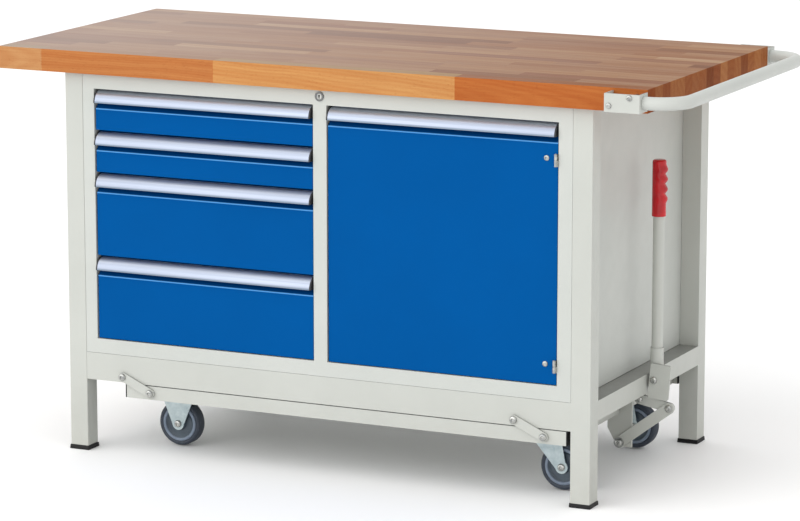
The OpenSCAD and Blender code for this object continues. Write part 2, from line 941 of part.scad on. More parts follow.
module lever_bolts() {
  back = lever_y + lever_d / 2 + sleeve_wall;
  color([0.78, 0.78, 0.76]) {
    bolt_head([tube_x, clamp_z], layer_plate[0], head_r, head_t);
    rod_y([tube_x, clamp_z], layer_plate[0] - 0.5, back + 6, pivot_r);
    nut([tube_x, clamp_z], back, head_r, 5);
    bolt_head(pivot_b, layer_drag[0] - 0.3, head_r, head_t);
    rod_y(pivot_b, layer_drag[0] - 0.8, layer_crank[1] + 7, pivot_r);
    nut(pivot_b, layer_crank[1], head_r, 6);
  }
}

// Long link from the crank to the hanging plate; its lower eye is widened
module drag_link() {
  color([0.80, 0.82, 0.80])
    difference() {
      plate_xz(layer_drag[0], layer_drag[1])
        bar_shape(pivot_b, drag_v, drag_w);
      rod_y(pivot_b, layer_drag[0] - eps, layer_drag[1] + eps, pivot_r + run);
      rod_y(pivot_c, layer_drag[0] - eps, layer_drag[1] + eps, slot_r);
    }
}

// ---- nodes ----

worktop();
side_frame_left();
side_frame_right();
foot_plugs();
front_rail();
rear_rail();
cabinet_sides();
cabinet_top();
cabinet_bottom();
cabinet_back();
cabinet_divider();
cabinet_front_frame();
lock_barrel();
lock_core();
drawer_runners();
drawer_box(0);  // drawer_box_1
drawer_box(1);  // drawer_box_2
drawer_box(2);  // drawer_box_3
drawer_box(3);  // drawer_box_4
drawer_front(0);  // drawer_front_1
drawer_front(1);  // drawer_front_2
drawer_front(2);  // drawer_front_3
drawer_front(3);  // drawer_front_4
drawer_grip(0);  // drawer_grip_1
drawer_grip(1);  // drawer_grip_2
drawer_grip(2);  // drawer_grip_3
drawer_grip(3);  // drawer_grip_4
door_panel();
door_grip();
door_hinge_leaves();
hinge_frame_leaves();
door_screws();
push_handle();
push_handle_brackets();
push_handle_screws();
castor_frame();
castor_frame_caps();
hanging_plate();
swing_link(0);  // link_front_left
swing_link(1);  // link_front_right
mirror([0, 1, 0]) swing_link(0);  // link_rear_left
mirror([0, 1, 0]) swing_link(1);  // link_rear_right
bench_pivot_bolts();
frame_pivot_bolts();
castor_fixed_forks();
castor_swivel_plates();
fixed_castor_axles();
castor_fork(-1);  // castor_fork_front
castor_fork(1);  // castor_fork_rear
swivel_castor_axle(-1);  // castor_axle_front
swivel_castor_axle(1);  // castor_axle_rear
wheel(fixed_x, -1);  // wheel_front_left
wheel(fixed_x, 1);  // wheel_rear_left
wheel(swivel_x + trail, -1);  // wheel_front_right
wheel(swivel_x + trail, 1);  // wheel_rear_right
lever_bracket();
lever_tube();
lever_grip();
lever_bolts();
drag_link();
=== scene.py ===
"""Looks of a mobile workbench: beech worktop, powder-coated steel frame and cabinet,
blue drawer fronts and door with aluminium grip strips, and a retractable castor
undercarriage worked by a hand lever. Metres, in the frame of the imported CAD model."""

import math

import bmesh
import bpy
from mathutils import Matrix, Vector


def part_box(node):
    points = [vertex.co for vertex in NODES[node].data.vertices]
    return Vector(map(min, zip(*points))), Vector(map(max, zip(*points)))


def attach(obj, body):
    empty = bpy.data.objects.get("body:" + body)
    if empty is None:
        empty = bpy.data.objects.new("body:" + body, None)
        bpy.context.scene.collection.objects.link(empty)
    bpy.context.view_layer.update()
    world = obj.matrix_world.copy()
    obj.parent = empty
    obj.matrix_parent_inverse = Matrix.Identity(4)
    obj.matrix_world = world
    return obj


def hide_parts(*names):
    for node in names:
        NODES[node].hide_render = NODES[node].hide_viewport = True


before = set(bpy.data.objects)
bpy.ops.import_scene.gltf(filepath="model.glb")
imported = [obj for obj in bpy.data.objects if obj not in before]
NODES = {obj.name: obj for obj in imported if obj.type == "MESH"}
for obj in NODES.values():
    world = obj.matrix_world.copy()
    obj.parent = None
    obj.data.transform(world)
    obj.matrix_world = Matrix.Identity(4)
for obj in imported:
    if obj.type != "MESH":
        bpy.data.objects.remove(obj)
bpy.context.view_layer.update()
MM = 0.001

# ---- places taken from the frame ----

top_lo, top_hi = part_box("worktop")
grip_lo, grip_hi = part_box("lever_grip")
DRAWERS = (1, 2, 3, 4)
FRONTS = [(f"drawer_front_{k}", f"drawer_grip_{k}") for k in DRAWERS] + [("door_panel", "door_grip")]
WHEELS = ("front_left", "rear_left", "front_right", "rear_right")


# ---- node graphs ----

class Graph:
    """Builds the node tree of one material around a Principled shader."""

    def __init__(self, name):
        self.material = bpy.data.materials.new(name)
        self.material.use_nodes = True
        self.tree = self.material.node_tree
        self.shader = self.tree.nodes["Principled BSDF"]
        self.place = self.node("ShaderNodeTexCoord").outputs["Object"]

    def node(self, kind, **settings):
        made = self.tree.nodes.new(kind)
        for key, value in settings.items():
            setattr(made, key, value)
        return made

    def put(self, socket, value):
        """Links an output, or sets a plain value."""
        if isinstance(value, bpy.types.NodeSocket):
            self.tree.links.new(value, socket)
        else:
            socket.default_value = value

    def shade(self, **sockets):
        """Sets Principled sockets; underscores stand for spaces."""
        for name, value in sockets.items():
            self.put(self.shader.inputs[name.replace("_", " ")], value)

    def math(self, operation, a, b=0.0, c=0.0):
        made = self.node("ShaderNodeMath", operation=operation)
        for socket, value in zip(made.inputs, (a, b, c)):
            self.put(socket, value)
        return made.outputs[0]

    def split(self, vector):
        made = self.node("ShaderNodeSeparateXYZ")
        self.put(made.inputs[0], vector)
        return made.outputs

    def join(self, x, y, z):
        made = self.node("ShaderNodeCombineXYZ")
        for socket, value in zip(made.inputs, (x, y, z)):
            self.put(socket, value)
        return made.outputs[0]

    def stretch(self, vector, factors):
        made = self.node("ShaderNodeVectorMath", operation="MULTIPLY")
        self.put(made.inputs[0], vector)
        self.put(made.inputs[1], factors)
        return made.outputs[0]

    def shift(self, vector, offset):
        made = self.node("ShaderNodeVectorMath", operation="ADD")
        self.put(made.inputs[0], vector)
        self.put(made.inputs[1], offset)
        return made.outputs[0]

    def noise(self, vector, scale, detail=3.0, roughness=0.5, distortion=0.0):
        made = self.node("ShaderNodeTexNoise")
        self.put(made.inputs["Vector"], vector)
        made.inputs["Scale"].default_value = scale
        made.inputs["Detail"].default_value = detail
        made.inputs["Roughness"].default_value = roughness
        made.inputs["Distortion"].default_value = distortion
        return made.outputs["Fac"]

    def cells(self, vector, scale):
        """Random colour for each cell of a Voronoi pattern."""
        made = self.node("ShaderNodeTexVoronoi")
        self.put(made.inputs["Vector"], vector)
        made.inputs["Scale"].default_value = scale
        return made.outputs["Color"]

    def random(self, vector):
        """Random value and random colour that a vector always gives."""
        made = self.node("ShaderNodeTexWhiteNoise", noise_dimensions="3D")
        self.put(made.inputs["Vector"], vector)
        return made.outputs

    def ramp(self, factor, stops, interpolation="LINEAR"):
        made = self.node("ShaderNodeValToRGB")
        ramp = made.color_ramp
        ramp.interpolation = interpolation
        while len(ramp.elements) < len(stops):
            ramp.elements.new(0.5)
        for element, (position, colour) in zip(ramp.elements, stops):
            element.position = position
            element.color = (*colour, 1.0)
        self.put(made.inputs[0], factor)
        return made.outputs[0]

    def span(self, value, low, high, to_low=0.0, to_high=1.0):
        """Maps low..high onto to_low..to_high, clamped."""
        made = self.node("ShaderNodeMapRange")
        for socket, v in zip(made.inputs, (value, low, high, to_low, to_high)):
            self.put(socket, v)
        return made.outputs[0]

    def tinted(self, tone, factor, tint):
        """Multiplies a tone by a tint, as far as the factor says."""
        return self.mix(factor, tone, self.mix(1.0, tone, tint, "MULTIPLY"))

    def mix(self, factor, a, b, blend="MIX"):
        """Blends two colours; a plain colour may have three values."""
        made = self.node("ShaderNodeMix", data_type="RGBA", blend_type=blend)
        self.put(made.inputs[0], factor)
        for socket, value in ((made.inputs[6], a), (made.inputs[7], b)):
            if isinstance(value, tuple) and len(value) == 3:
                value = (*value, 1.0)
            self.put(socket, value)
        return made.outputs[2]

    def bump(self, height, distance, strength):
        """Fine relief on the shader's own normal."""
        made = self.node("ShaderNodeBump")
        made.inputs["Strength"].default_value = strength
        made.inputs["Distance"].default_value = distance
        self.put(made.inputs["Height"], height)
        self.put(self.shader.inputs["Normal"], made.outputs[0])


def srgb(r, g, b):
    """Linear colour of 0 to 255 display values."""
    def linear(v):
        v /= 255
        return v / 12.92 if v <= 0.04045 else ((v + 0.055) / 1.055) ** 2.4
    return (linear(r), linear(g), linear(b))


# ---- materials ----

# Worktop's front edge: joints between its long lamellae, from the left end, and their tones
FRONT_JOINTS = (0.103, 0.520, 1.078)
FRONT_TONES = (srgb(198, 151, 102), srgb(194, 130, 76), srgb(208, 157, 97), srgb(186, 111, 56))
# Staves of the worktop: width, shortest length and how much longer a row's staves may be
STAVE_W = 0.0412
STAVE_L = 0.31
STAVE_SPREAD = 0.16
STAVE_TONES = [(0.0, srgb(164, 104, 68)), (0.22, srgb(194, 132, 90)), (0.45, srgb(210, 152, 106)),
               (0.62, srgb(182, 118, 82)), (0.82, srgb(226, 174, 128)), (1.0, srgb(174, 106, 68))]
# Growth rings: fine and broad waves, in radians per metre of the tree's radius
FINE_RINGS = 1250.0
BROAD_RINGS = 330.0
# Tints that multiply the wood's tone in its rings, fibres, clouds and flecks and on end grain,
# # the painted sheen that greys the top, and the colours of the painted glare on the top and of glue
RING_TINT = srgb(222, 178, 150)
FIBRE_TINT = srgb(206, 160, 130)
CLOUD_TINT = (1.10, 1.06, 1.0)
FLECK_TINT = srgb(170, 110, 80)
END_GRAIN_TINT = (0.50, 0.40, 0.28)
TOP_SHEEN_TINT = (0.50, 0.60, 0.68)
GLARE_GREY = (0.62, 0.60, 0.58)
GLUE = srgb(120, 74, 46)


def beech():
    """Edge-glued beech: every stave is a solid block with its own tone and its own
    growth rings, so top, edges and end grain agree."""
    g = Graph("oiled_beech")
    x, y, z = g.split(g.place)
    from_left = g.math("SUBTRACT", x, top_lo.x)
    from_front = g.math("SUBTRACT", y, top_lo.y)
    row = g.math("FLOOR", g.math("DIVIDE", from_front, STAVE_W))
    row_random = g.random(g.join(row, 3.0, 1.0))
    length = g.math("MULTIPLY_ADD", row_random[0], STAVE_SPREAD, STAVE_L)
    row_start = g.math("MULTIPLY", row_random[0], 17.3)
    column = g.math("FLOOR", g.math("DIVIDE", g.math("ADD", from_left, row_start), length))
    front_column = 0.0
    for joint in FRONT_JOINTS:
        front_column = g.math("ADD", front_column, g.math("GREATER_THAN", from_left, joint))
    is_front = g.math("LESS_THAN", row, 0.5)
    other = g.math("SUBTRACT", 1.0, is_front)
    cell = g.math("ADD", g.math("MULTIPLY", column, other), g.math("MULTIPLY", front_column, is_front))
    stave = g.random(g.join(row, cell, 7.0))

    # Growth rings about an axis that runs nearly along the stave
    lean = g.math("SUBTRACT", g.split(stave[1])[0], 0.5)
    turn = g.split(stave[1])
    wave = g.noise(g.stretch(g.place, (3.0, 9.0, 9.0)), 1.0, 2.0)
    across = g.math("ADD", y, g.math("MULTIPLY_ADD", turn[1], 0.16, -0.08))
    across = g.math("SUBTRACT", across, g.math("MULTIPLY_ADD", row, STAVE_W, top_lo.y))
    across = g.math("MULTIPLY_ADD", g.math("MULTIPLY", lean, 0.20), from_left, across)
    upward = g.math("SUBTRACT", z, g.math("MULTIPLY_ADD", turn[2], 0.12, top_lo.z - 0.08))
    upward = g.math("MULTIPLY_ADD", wave, 0.028, upward)
    radius = g.math("SQRT", g.math("ADD", g.math("POWER", across, 2.0), g.math("POWER", upward, 2.0)))
    rings = g.math("SINE", g.math("MULTIPLY", radius, FINE_RINGS))
    broad = g.math("SINE", g.math("MULTIPLY", radius, BROAD_RINGS))
    ring_tone = g.math("MULTIPLY_ADD", rings, 0.20, 0.5)
    ring_tone = g.math("MULTIPLY_ADD", broad, 0.22, ring_tone)

    # Fine fibres along the stave and the short dark flecks of beech
    own_place = g.shift(g.place, g.stretch(stave[1], (4.0, 4.0, 4.0)))
    fibres = g.noise(g.stretch(own_place, (9.0, 260.0, 260.0)), 1.0, 4.0, 0.6)
    flecks = g.noise(g.stretch(own_place, (120.0, 1300.0, 900.0)), 1.0, 2.0, 0.5)
    fleck_mask = g.span(flecks, 0.60, 0.72)
    clouds = g.noise(g.stretch(own_place, (2.2, 14.0, 14.0)), 1.0, 3.0, 0.55)

    front_length = top_hi.x - top_lo.x
    starts = [0.0] + [joint / front_length for joint in FRONT_JOINTS]
    along_front = g.math("DIVIDE", from_left, front_length)
    front_tone = g.ramp(along_front, list(zip(starts, FRONT_TONES)), "CONSTANT")
    tone = g.mix(is_front, g.ramp(stave[0], STAVE_TONES), front_tone)
    tone = g.tinted(tone, g.math("MULTIPLY", ring_tone, 0.55), RING_TINT)
    tone = g.tinted(tone, g.span(fibres, 0.35, 0.75, 0.0, 0.30), FIBRE_TINT)
    tone = g.tinted(tone, g.span(clouds, 0.3, 0.7, 0.0, 0.5), CLOUD_TINT)
    tone = g.tinted(tone, g.math("MULTIPLY", fleck_mask, 0.35), FLECK_TINT)

    # End grain drinks more oil; the top gets a painted sheen, and a painted glare that pales it towards
    # its left end
    nx, _, nz = g.split(g.node("ShaderNodeNewGeometry").outputs["Normal"])
    end_grain = g.span(g.math("ABSOLUTE", nx), 0.6, 0.9)
    top_face = g.span(nz, 0.6, 0.9)
    tone = g.tinted(tone, end_grain, END_GRAIN_TINT)
    tone = g.tinted(tone, top_face, TOP_SHEEN_TINT)
    # Painted glare: the top paler and greyer towards its left end
    glare_strength = g.span(from_left, 0.1, 1.4, 0.32, 0.02)
    tone = g.mix(g.math("MULTIPLY", top_face, glare_strength), tone, GLARE_GREY)

    # Hairline glue joints
    in_row = g.math("FRACT", g.math("DIVIDE", from_front, STAVE_W))
    row_edge = g.math("MINIMUM", in_row, g.math("SUBTRACT", 1.0, in_row))
    glue = g.math("SUBTRACT", 1.0, g.span(row_edge, 0.0, 0.012))
    tone = g.mix(g.math("MULTIPLY", glue, 0.28), tone, GLUE)

    g.shade(Base_Color=tone,
            Roughness=g.math("MULTIPLY_ADD", fibres, 0.22, g.span(clouds, 0.2, 0.8, 0.30, 0.40)),
            Specular_IOR_Level=0.02)
    height = g.math("ADD", g.math("MULTIPLY", fibres, 0.6), g.math("MULTIPLY", fleck_mask, -0.5))
    g.bump(height, 0.0002, 0.5)
    return g.material


# From the bend under a grip strip up to the strip
RECESS_H = 14 * MM
GRIME = srgb(146, 140, 130)
# Painted shade on upward-facing ledges and in the finger recess above the bend, and the painted
# highlight along the bend
LEDGE_SHADE = srgb(112, 114, 112)
RECESS_SHADE_TINT = srgb(196, 200, 208)
BEND_HIGHLIGHT_BLUE = srgb(92, 160, 222)


def powder_coat(name, colour, shade_to, gloss, shine=0.3, dust_and_ledge_shade=0.0, bend=None):
    """Baked powder coat: orange peel and faint clouding. Dust brings a little grime low
    down, and upward-facing ledges get a painted shade. Above a bend at a height the coat
    gets a painted shade for the finger recess, and along the bend a painted highlight."""
    g = Graph(name)
    clouds = g.noise(g.place, 3.2, 4.0, 0.55)
    patches = g.noise(g.place, 26.0, 3.0, 0.6)
    tone = g.mix(g.span(clouds, 0.3, 0.7), colour, shade_to)
    tone = g.mix(g.span(patches, 0.45, 0.75, 0.0, 0.22), tone, shade_to)
    if dust_and_ledge_shade:
        height = g.split(g.place)[2]
        low = g.math("SUBTRACT", 1.0, g.span(height, 0.0, 0.22))
        grime = g.math("MULTIPLY", g.math("MULTIPLY", low, patches), dust_and_ledge_shade)
        tone = g.mix(grime, tone, GRIME)
        # Painted shade: upward-facing faces darkened as if shaded from above
        upward = g.split(g.node("ShaderNodeNewGeometry").outputs["Normal"])[2]
        tone = g.mix(g.span(upward, 0.8, 0.97, 0.0, 0.75), tone, LEDGE_SHADE)
    if bend is not None:
        height = g.split(g.place)[2]
        # Painted shade: the finger recess above the bend darkened
        tone = g.tinted(tone, g.span(height, bend, bend + 1.0 * MM), RECESS_SHADE_TINT)
        # Painted highlight: a lighter blue band along the bend
        off_bend = g.math("ABSOLUTE", g.math("SUBTRACT", height, bend))
        bend_highlight = g.math("SUBTRACT", 1.0, g.span(off_bend, 0.8 * MM, 1.6 * MM))
        tone = g.mix(g.math("MULTIPLY", bend_highlight, 0.85), tone, BEND_HIGHLIGHT_BLUE)
    peel = g.noise(g.place, 620.0, 2.0, 0.4)
    fine = g.noise(g.place, 2600.0, 1.0, 0.5)
    g.shade(Base_Color=tone, Roughness=g.span(patches, 0.3, 0.7, gloss - 0.04, gloss + 0.06),
            Specular_IOR_Level=shine)
    g.bump(g.math("MULTIPLY_ADD", fine, 0.3, peel), 0.00022, 0.35)
    return g.material


def zinc_plate():
    """Bright zinc with the cool, cloudy spangle of electroplating."""
    g = Graph("zinc_plate")
    clouds = g.noise(g.place, 42.0, 4.0, 0.6)
    spangle = g.split(g.cells(g.place, 190.0))[0]
    tone = g.mix(g.span(clouds, 0.3, 0.7), srgb(176, 188, 190), srgb(150, 164, 168))
    tone = g.mix(g.math("MULTIPLY", spangle, 0.25), tone, srgb(206, 214, 212))
    g.shade(Base_Color=tone, Metallic=0.88,
            Roughness=g.math("MULTIPLY_ADD", spangle, 0.10, g.span(clouds, 0.3, 0.7, 0.26, 0.40)))
    g.bump(g.noise(g.place, 900.0, 3.0, 0.6), 0.0001, 0.35)
    return g.material


def screw_steel(name, bright, dull):
    """Plated heads with turned, slightly worn faces."""
    g = Graph(name)
    clouds = g.noise(g.place, 120.0, 4.0, 0.6)
    scratches = g.noise(g.stretch(g.place, (300.0, 60.0, 2200.0)), 1.0, 3.0, 0.5)
    tone = g.mix(g.span(clouds, 0.3, 0.7), bright, dull)
    g.shade(Base_Color=tone, Metallic=0.95,
            Roughness=g.math("MULTIPLY_ADD", scratches, 0.16, g.span(clouds, 0.3, 0.7, 0.16, 0.28)))
    g.bump(scratches, 0.0001, 0.3)
    return g.material


# Length of a grip strip's end cap, with the gap beside it; where the painted highlight of its upper
# part starts, and the span of the painted shade on its lip
CAP_L = 3.15 * MM
UPPER_FROM = 14 * MM
LIP_FROM = 2.2 * MM
LIP_TO = 4.6 * MM


def anodised_strip(node):
    """Satin aluminium drawn along the strip, with a painted highlight on its upper part and painted
    shade on its lower lip; its two end caps are black plastic.
    """
    lo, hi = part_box(node)
    g = Graph(f"{node}_aluminium")
    x, _, z = g.split(g.place)
    at_left = g.math("LESS_THAN", x, lo.x + CAP_L)
    at_right = g.math("GREATER_THAN", x, hi.x - CAP_L)
    is_cap = g.math("MAXIMUM", at_left, at_right)
    lines = g.noise(g.stretch(g.place, (2.5, 1500.0, 1500.0)), 1.0, 3.0, 0.55)
    clouds = g.noise(g.stretch(g.place, (2.0, 30.0, 30.0)), 1.0, 3.0, 0.5)
    metal = g.mix(g.span(lines, 0.3, 0.7), srgb(160, 168, 182), srgb(146, 153, 168))
    metal = g.mix(g.span(clouds, 0.35, 0.7, 0.0, 0.3), metal, srgb(136, 143, 160))
    # Painted highlight: the upper part of the strip paler
    metal = g.mix(g.span(z, lo.z + UPPER_FROM, hi.z), metal, srgb(206, 212, 222))
    # Painted shade: the lower lip of the strip darker
    lip = g.math("SUBTRACT", 1.0, g.span(z, lo.z + LIP_FROM, lo.z + LIP_TO))
    metal = g.mix(g.math("MULTIPLY", lip, 0.8), metal, srgb(108, 122, 138))
    grain = g.noise(g.place, 1400.0, 2.0, 0.5)
    rough = g.math("MULTIPLY_ADD", lines, 0.14, g.span(clouds, 0.3, 0.7, 0.30, 0.38))
    not_cap = g.math("SUBTRACT", 1.0, is_cap)
    g.shade(Base_Color=g.mix(is_cap, metal, g.mix(grain, srgb(22, 23, 26), srgb(38, 39, 44))),
            Metallic=g.math("MULTIPLY", not_cap, 0.9),
            Roughness=g.math("MULTIPLY_ADD", is_cap, 0.2, rough))
    g.bump(g.math("MULTIPLY_ADD", grain, 0.4, lines), 0.00012, 0.3)
    return g.material


def black_plastic():
    """Matt moulded plastic, scuffed lighter here and there."""
    g = Graph("black_plastic")
    grain = g.noise(g.place, 1600.0, 2.0, 0.6)
    scuffs = g.noise(g.stretch(g.place, (90.0, 90.0, 240.0)), 1.0, 5.0, 0.65)
    tone = g.mix(g.span(scuffs, 0.55, 0.78, 0.0, 0.4), srgb(12, 12, 13), srgb(52, 52, 52))
    g.shade(Base_Color=tone, Roughness=g.span(scuffs, 0.3, 0.7, 0.44, 0.62),
            Specular_IOR_Level=0.25)
    g.bump(grain, 0.00015, 0.5)
    return g.material


def tyre_rubber():
    """Blue-grey elastic rubber, dull on the tread where it has rolled."""
    g = Graph("tyre_rubber")
    grain = g.noise(g.place, 1300.0, 3.0, 0.6)
    wear = g.noise(g.place, 60.0, 4.0, 0.6)
    tone = g.mix(g.span(wear, 0.35, 0.7), srgb(36, 44, 56), srgb(52, 60, 72))
    tone = g.mix(g.span(grain, 0.5, 0.8, 0.0, 0.3), tone, srgb(92, 96, 104))
    g.shade(Base_Color=tone, Roughness=g.span(wear, 0.3, 0.7, 0.5, 0.66))
    g.bump(grain, 0.0003, 0.5)
    return g.material


def wheel_plastic(name, colour, worn, gloss):
    """Moulded wheel centre with fine grain and faint flow marks."""
    g = Graph(name)
    grain = g.noise(g.place, 900.0, 2.0, 0.6)
    flow = g.noise(g.place, 36.0, 4.0, 0.6, 0.6)
    tone = g.mix(g.span(flow, 0.35, 0.7), colour, worn)
    g.shade(Base_Color=tone, Roughness=g.span(flow, 0.3, 0.7, gloss - 0.05, gloss + 0.08))
    g.bump(grain, 0.00015, 0.4)
    return g.material


def red_grip():
    """Glossy dipped plastic with a faint skin and darker clouds."""
    g = Graph("red_grip_plastic")
    skin = g.noise(g.place, 420.0, 3.0, 0.5)
    clouds = g.noise(g.place, 40.0, 3.0, 0.5)
    tone = g.mix(g.span(clouds, 0.3, 0.7), srgb(186, 6, 20), srgb(156, 4, 16))
    g.shade(Base_Color=tone, Roughness=g.span(skin, 0.3, 0.7, 0.12, 0.22),
            Specular_IOR_Level=0.35, Coat_Weight=0.2, Coat_Roughness=0.05)
    g.bump(skin, 0.0002, 0.3)
    return g.material


# ---- softened edges on the CAD nodes ----

def smoothing_group():
    """Welds a node's corners and shades its curved faces smoothly, flat faces flat."""
    group = bpy.data.node_groups.new("smooth_curved_faces", "GeometryNodeTree")
    group.interface.new_socket("Geometry", in_out="INPUT", socket_type="NodeSocketGeometry")
    group.interface.new_socket("Geometry", in_out="OUTPUT", socket_type="NodeSocketGeometry")
    nodes, links = group.nodes, group.links
    start = nodes.new("NodeGroupInput")
    forget = nodes.new("GeometryNodeRemoveAttribute")
    forget.inputs["Name"].default_value = "custom_normal"
    weld = nodes.new("GeometryNodeMergeByDistance")
    weld.inputs["Distance"].default_value = 0.01 * MM
    faces = nodes.new("GeometryNodeSetShadeSmooth")
    edges = nodes.new("GeometryNodeSetShadeSmooth")
    edges.domain = "EDGE"
    angle = nodes.new("GeometryNodeInputMeshEdgeAngle")
    small = nodes.new("FunctionNodeCompare")
    small.operation = "LESS_THAN"
    small.inputs[1].default_value = math.radians(28)
    end = nodes.new("NodeGroupOutput")
    links.new(start.outputs[0], forget.inputs["Geometry"])
    links.new(forget.outputs["Geometry"], weld.inputs["Geometry"])
    links.new(weld.outputs["Geometry"], faces.inputs["Geometry"])
    links.new(faces.outputs["Geometry"], edges.inputs["Geometry"])
    links.new(angle.outputs["Unsigned Angle"], small.inputs[0])
    links.new(small.outputs[0], edges.inputs["Shade Smooth"])
    links.new(edges.outputs["Geometry"], end.inputs[0])
    return group


SMOOTHING = smoothing_group()
# Edge rounds of welded tubes, cut plates, folded sheets and small turned parts
TUBE_EDGE = 1.9 * MM
PLATE_EDGE = 0.7 * MM
SHEET_EDGE = 0.5 * MM
TURNED_EDGE = 0.3 * MM


def soften(obj, edge, steps=2):
    """Smooth shading on curves, and a small round on every sharp edge."""
    smooth = obj.modifiers.new("smooth_curves", "NODES")
    smooth.node_group = SMOOTHING
    if edge:
        flat = obj.modifiers.new("merge_flat_faces", "DECIMATE")
        flat.decimate_type = "DISSOLVE"
        flat.angle_limit = math.radians(0.3)
        bevel = obj.modifiers.new("edge_round", "BEVEL")
        bevel.width = edge
        bevel.segments = steps
        bevel.limit_method = "ANGLE"
        bevel.angle_limit = math.radians(32)
        bevel.harden_normals = True


def dress(names, material, edge, steps=2):
    """Gives CAD nodes a material and rounded edges."""
    for name in names:
        obj = NODES[name]
        obj.data.materials.clear()
        obj.data.materials.append(material)
        soften(obj, edge, steps)


grey_frame = powder_coat("frame_powder_coat", srgb(184, 186, 180), srgb(178, 180, 174), 0.36, dust_and_ledge_shade=0.35)
grey_cabinet = powder_coat("cabinet_powder_coat", srgb(187, 189, 184), srgb(180, 183, 178), 0.38)
zinc = zinc_plate()
screws = screw_steel("screw_steel", srgb(196, 196, 190), srgb(140, 142, 142))
lock_nickel = screw_steel("lock_nickel", srgb(128, 128, 126), srgb(96, 97, 98))
black = black_plastic()

dress(["worktop"], beech(), 1.6 * MM, 3)
dress(["side_frame_left", "side_frame_right", "front_rail", "rear_rail", "castor_frame"],
      grey_frame, TUBE_EDGE, 3)
dress(["push_handle"], grey_cabinet, 0.8 * MM)
dress(["push_handle_brackets", "hanging_plate", "lever_bracket", "drag_link",
       "link_front_left", "link_front_right", "link_rear_left", "link_rear_right"],
      grey_frame, PLATE_EDGE)
dress(["lever_tube"], grey_frame, SHEET_EDGE)
dress(["cabinet_sides", "cabinet_top", "cabinet_bottom", "cabinet_back", "cabinet_divider"],
      grey_cabinet, SHEET_EDGE)
dress(["cabinet_front_frame"], grey_cabinet, 0.9 * MM)
dress([f"drawer_box_{k}" for k in DRAWERS], grey_cabinet, 0.4 * MM)
dress(["drawer_runners", "castor_fixed_forks", "castor_swivel_plates",
       "castor_fork_front", "castor_fork_rear"], zinc, 0.8 * MM)
dress(["lock_barrel"], lock_nickel, 0.4 * MM)
dress(["lock_core", "door_hinge_leaves", "hinge_frame_leaves", "door_screws",
       "push_handle_screws", "bench_pivot_bolts", "frame_pivot_bolts", "lever_bolts",
       "fixed_castor_axles", "castor_axle_front", "castor_axle_rear"], screws, TURNED_EDGE)
dress(["foot_plugs", "castor_frame_caps"], black, 0.8 * MM)
for front, strip in FRONTS:
    blue = powder_coat(f"{front}_blue_coat", srgb(0, 77, 142), srgb(0, 74, 137), 0.33,
                       shine=0.02, bend=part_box(strip)[0].z - RECESS_H)
    dress([front], blue, PLATE_EDGE)
    dress([strip], anodised_strip(strip), 0.4 * MM)


# ---- pieces made here ----

def finished(name, mesh_data, material, body, slot, *replaced):
    """Turns a bmesh into a smooth-shaded piece that rides on a body."""
    bmesh.ops.recalc_face_normals(mesh_data, faces=mesh_data.faces)
    mesh = bpy.data.meshes.new(name)
    mesh_data.to_mesh(mesh)
    mesh_data.free()
    mesh.materials.append(material)
    obj = bpy.data.objects.new(name, mesh)
    bpy.context.scene.collection.objects.link(obj)
    soften(obj, 0)
    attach(obj, body)
    if replaced:
        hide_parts(*replaced)


def lathe(profile, centre, turns=96):
    """Closed (distance from axis, place along the axis) outline turned about Y."""
    mesh = bmesh.new()
    rings = []
    for k in range(turns):
        angle = 2 * math.pi * k / turns
        rings.append([mesh.verts.new((centre.x + r * math.cos(angle), centre.y + along,
                                      centre.z + r * math.sin(angle))) for r, along in profile])
    for k in range(turns):
        here, after = rings[k], rings[(k + 1) % turns]
        for i in range(len(profile)):
            j = (i + 1) % len(profile)
            mesh.faces.new((here[i], here[j], after[j], after[i]))
    return mesh


def arc(centre, radius, start, stop, steps):
    """Points on a circle from start to stop degrees."""
    points = []
    for k in range(steps + 1):
        angle = math.radians(start + (stop - start) * k / steps)
        points.append((centre[0] + radius * math.cos(angle), centre[1] + radius * math.sin(angle)))
    return points


rubber = tyre_rubber()
shoulder_grey = wheel_plastic("wheel_shoulder_plastic", srgb(116, 128, 144), srgb(98, 110, 126), 0.36)
disc_grey = wheel_plastic("wheel_disc_plastic", srgb(70, 82, 92), srgb(56, 66, 76), 0.40)


def wheel_profiles(radius, half, bore):
    """Outlines of the tyre, the raised shoulder ring and the dished centre."""
    crown = 7 * MM
    seat = radius * 0.80
    tyre = ([(seat, -half + 2.2 * MM), (seat, half - 2.2 * MM)]
            + arc((radius - crown, half - crown), crown, 80, 0, 8)
            + arc((radius - crown, -half + crown), crown, 0, -80, 8))
    ring_in = radius * 0.66
    lip = 2.4 * MM
    shoulder = ([(ring_in, -half + 6 * MM), (ring_in, half - 6 * MM)]
                + arc((ring_in + lip, half - lip), lip, 170, 90, 5)
                + arc((seat - lip, half - lip), lip, 90, 10, 5)
                + arc((seat - lip, -half + lip), lip, -10, -90, 5)
                + arc((ring_in + lip, -half + lip), lip, -90, -170, 5))
    dish = 5.5 * MM
    hub = 13 * MM
    disc = ([(bore, -half - 0.6 * MM)]
            + arc((hub - 1.5 * MM, -half + 0.9 * MM), 1.5 * MM, -90, 0, 4)
            + [(hub + 2.5 * MM, -half + dish)]
            + [(ring_in - 5 * MM, -half + dish + 0.5 * MM), (ring_in + 0.5 * MM, -half + 2.6 * MM)]
            + [(ring_in + 0.5 * MM, half - 2.6 * MM), (ring_in - 5 * MM, half - dish - 0.5 * MM)]
            + [(hub + 2.5 * MM, half - dish)]
            + arc((hub - 1.5 * MM, half - 0.9 * MM), 1.5 * MM, 0, 90, 4)
            + [(bore, half + 0.6 * MM)])
    return tyre, shoulder, disc


# Radius of a wheel's bore, a running fit on its axle
AXLE_BORE = 6.05 * MM


